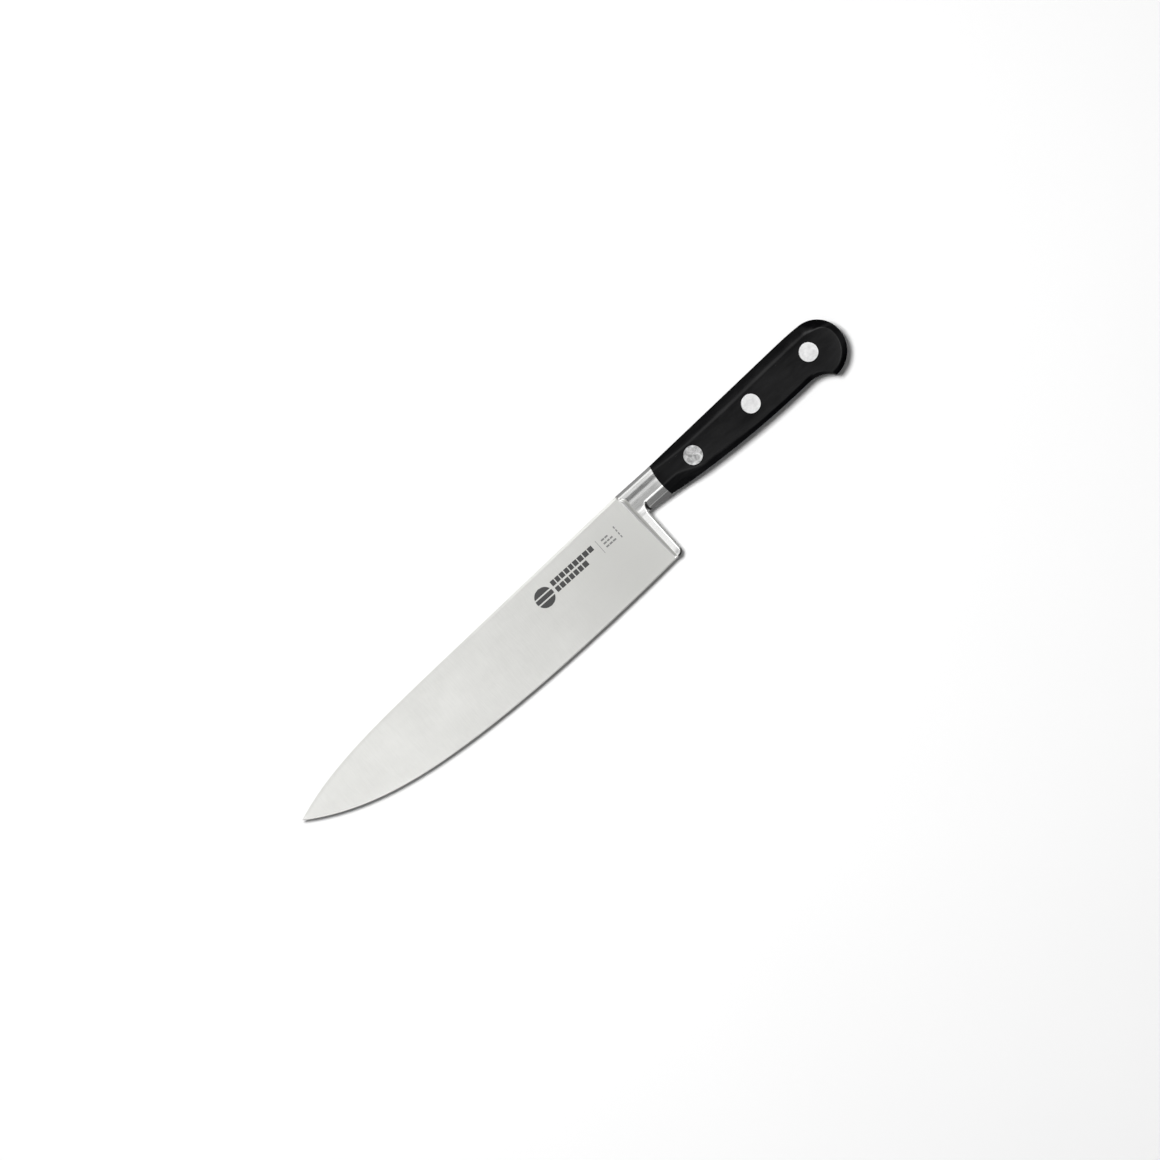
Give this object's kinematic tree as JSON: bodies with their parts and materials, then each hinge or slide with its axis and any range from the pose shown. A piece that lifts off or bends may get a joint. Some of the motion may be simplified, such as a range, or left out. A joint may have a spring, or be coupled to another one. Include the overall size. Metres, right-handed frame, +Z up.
{
  "type": "chef knife",
  "caption": "Forged kitchen knife for chopping and slicing: wide curved blade, full heel guard, full tang and black riveted handle with a hooked butt.",
  "frame": {"origin": "under the middle of the knife's outline, on the surface that its right side rests on", "axes": "+X from the tip to the butt, +Y from the cutting edge to the spine, +Z up out of the left face, square to the blade's middle plane"},
  "size_m": [0.3206, 0.0428, 0.0155],
  "materials": {
    "blade_steel": "satin-ground blade, polished guard and neck",
    "handle_plastic": "moulded black acetal, slight sheen",
    "rivet_metal": "ground flush, fine scratches"
  },
  "bodies": {
    "root": {"forged_blade": "blade_steel", "scale_left": "handle_plastic", "scale_right": "handle_plastic", "rivet_front_stud": "rivet_metal", "rivet_front_socket": "rivet_metal", "rivet_middle_stud": "rivet_metal", "rivet_middle_socket": "rivet_metal", "rivet_rear_stud": "rivet_metal", "rivet_rear_socket": "rivet_metal"}
  },
  "joints": []
}
